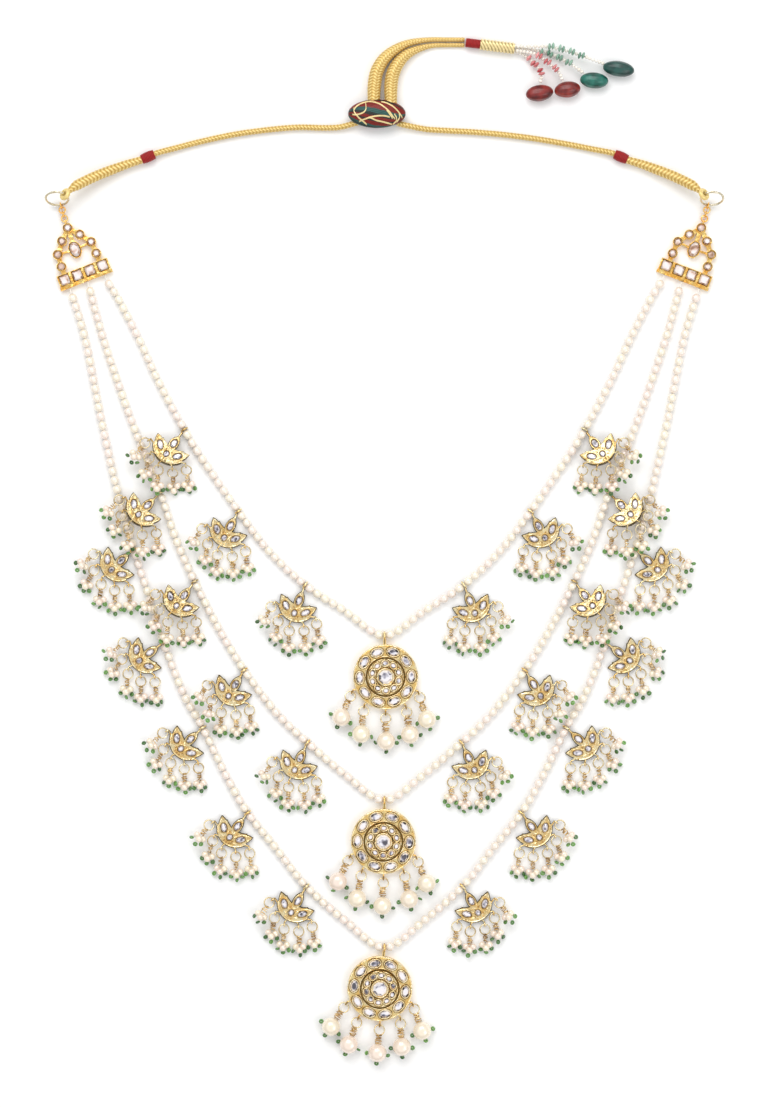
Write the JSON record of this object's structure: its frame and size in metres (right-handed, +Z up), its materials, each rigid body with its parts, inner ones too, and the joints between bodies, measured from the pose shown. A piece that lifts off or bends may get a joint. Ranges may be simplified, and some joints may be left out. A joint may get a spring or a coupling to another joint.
{
  "type": "kundan necklace",
  "caption": "Three graded strings of pearls hung with gem-set crescent motifs, round pendants and pearl drops between two end plates, on an adjustable golden cord with a tassel",
  "frame": {"origin": "on the surface the necklace lies on, in the middle of the jewel's width and of its length from the end rings to the lowest pearl drop, the free cord left out", "axes": "+X to the viewer's right, +Y from the lowest pendant towards the cord, +Z up from the surface through the front of the pendants"},
  "size_m": [0.2946, 0.4452, 0.0109],
  "materials": {
    "gold": "polished gilt",
    "pale_gold": "polished",
    "pearl": "lustrous",
    "pearl_drop": "lustrous",
    "clear_stone": "cut and foiled",
    "blush_stone": "cut and foiled",
    "gold_cord": "braided metallic thread",
    "crimson_thread": "wound thread",
    "green_thread": "wound thread",
    "seed_bead": "glossy",
    "maroon_bead": "glossy"
  },
  "bodies": {
    "root": {"string_inner": "pearl", "string_middle": "pearl", "string_outer": "pearl", "motif_inner_left_1": "gold", "motif_inner_left_2": "gold", "motif_inner_left_3": "gold", "motif_inner_right_1": "gold", "motif_inner_right_2": "gold", "motif_inner_right_3": "gold", "motif_middle_left_1": "gold", "motif_middle_left_2": "gold", "motif_middle_left_3": "gold", "motif_middle_left_4": "gold", "motif_middle_right_1": "gold", "motif_middle_right_2": "gold", "motif_middle_right_3": "gold", "motif_middle_right_4": "gold", "motif_outer_left_1": "gold", "motif_outer_left_2": "gold", "motif_outer_left_3": "gold", "motif_outer_left_4": "gold", "motif_outer_left_5": "gold", "motif_outer_right_1": "gold", "motif_outer_right_2": "gold", "motif_outer_right_3": "gold", "motif_outer_right_4": "gold", "motif_outer_right_5": "gold", "drops_inner_left": "pearl_drop", "drops_inner_right": "pearl_drop", "drops_middle_left": "pearl_drop", "drops_middle_right": "pearl_drop", "drops_outer_left": "pearl_drop", "drops_outer_right": "pearl_drop", "pendant_inner": "gold", "pendant_middle": "gold", "pendant_outer": "gold", "pendant_stones": "clear_stone", "pendant_drops_inner": "pearl_drop", "pendant_drops_middle": "pearl_drop", "pendant_drops_outer": "pearl_drop", "end_plate_left": "gold", "plate_stones_left": "blush_stone", "chain_left": "gold", "end_ring_left": "pale_gold", "cord_loop_left": "gold_cord", "cord_tie_left": "crimson_thread", "cord_left": "gold_cord", "tail_cord_left": "gold_cord", "end_plate_right": "gold", "plate_stones_right": "blush_stone", "chain_right": "gold", "end_ring_right": "pale_gold", "cord_loop_right": "gold_cord", "cord_tie_right": "crimson_thread", "cord_right": "gold_cord", "tail_cord_right": "gold_cord", "slider": "green_thread", "tassel_wrap": "gold_cord", "tassel_strings": "seed_bead", "tassel_beads": "maroon_bead"}
  },
  "joints": []
}
